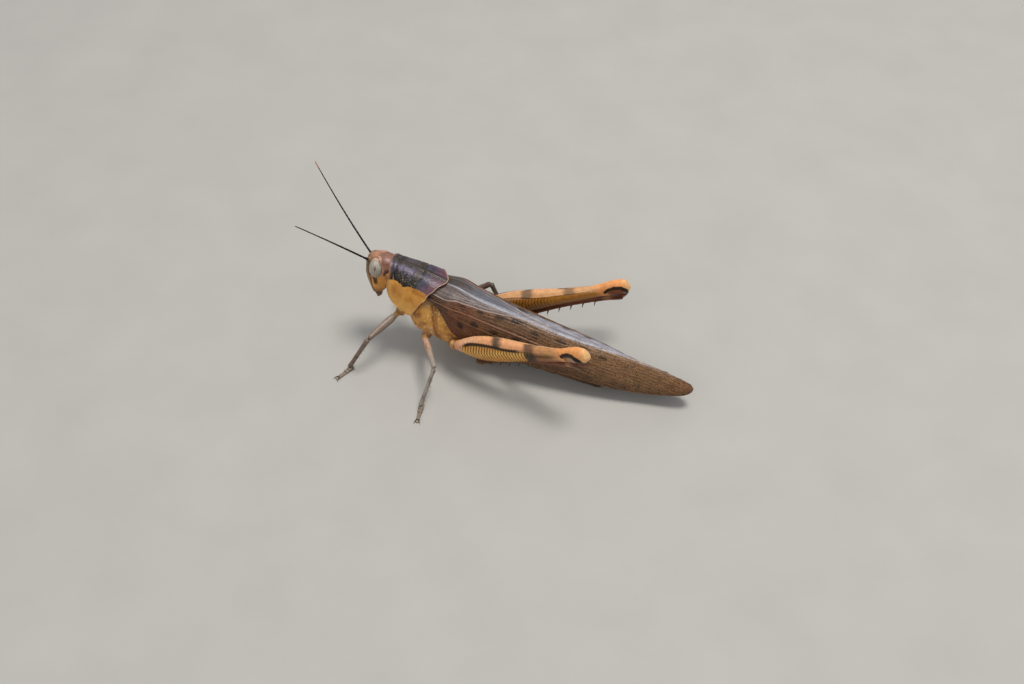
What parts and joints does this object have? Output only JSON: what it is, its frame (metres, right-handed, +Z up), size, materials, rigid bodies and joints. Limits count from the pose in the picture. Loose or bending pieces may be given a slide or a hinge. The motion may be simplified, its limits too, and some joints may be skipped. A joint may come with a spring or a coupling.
{
  "type": "bird-locust grasshopper",
  "caption": "Life-size large bird-locust grasshopper standing on the floor with its hind legs folded, its wings closed and its antennae raised.",
  "frame": {"origin": "centre of the bounding box's base, on the floor that the feet and the abdomen's tip stand on", "axes": "+X from the head towards the wing tips, +Y towards the animal's right side, +Z up from the floor"},
  "size_m": [0.0878, 0.0434, 0.0367],
  "materials": {
    "head": "satin shell, pinkish brown above and tan on the cheek",
    "face": "satin shell, dark brown",
    "eye": "glossy, grey beige",
    "antenna": "satin black",
    "pronotum": "satin shell, purple grey above and amber below",
    "thorax": "satin shell, amber orange",
    "abdomen": "satin shell, tan",
    "wing": "leathery, dark reddish brown with fine pale veins",
    "femur": "satin shell, peach orange with charcoal bands",
    "shin": "satin shell, brown with black spines",
    "foot": "satin shell, olive grey"
  },
  "bodies": {
    "root": {"prothorax": "thorax", "thorax": "thorax", "abdomen": "abdomen", "ovipositor": "abdomen", "pronotum": "pronotum", "forewing_left": "wing", "forewing_right": "wing", "head": "head", "eye_left": "eye", "eye_right": "eye", "labrum": "face", "mandible_left": "face", "palp_left": "face", "mandible_right": "face", "palp_right": "face", "antenna_left": "antenna", "antenna_right": "antenna", "coxa_front_left": "thorax", "femur_front_left": "femur", "tibia_front_left": "shin", "tarsus_front_left": "foot", "coxa_front_right": "thorax", "femur_front_right": "femur", "tibia_front_right": "shin", "tarsus_front_right": "foot", "coxa_middle_left": "thorax", "femur_middle_left": "femur", "tibia_middle_left": "shin", "tarsus_middle_left": "foot", "coxa_middle_right": "thorax", "femur_middle_right": "femur", "tibia_middle_right": "shin", "tarsus_middle_right": "foot", "coxa_hind_left": "thorax", "femur_hind_left": "femur", "tibia_hind_left": "shin", "tarsus_hind_left": "foot", "coxa_hind_right": "thorax", "femur_hind_right": "femur", "tibia_hind_right": "shin", "tarsus_hind_right": "foot"}
  },
  "joints": []
}
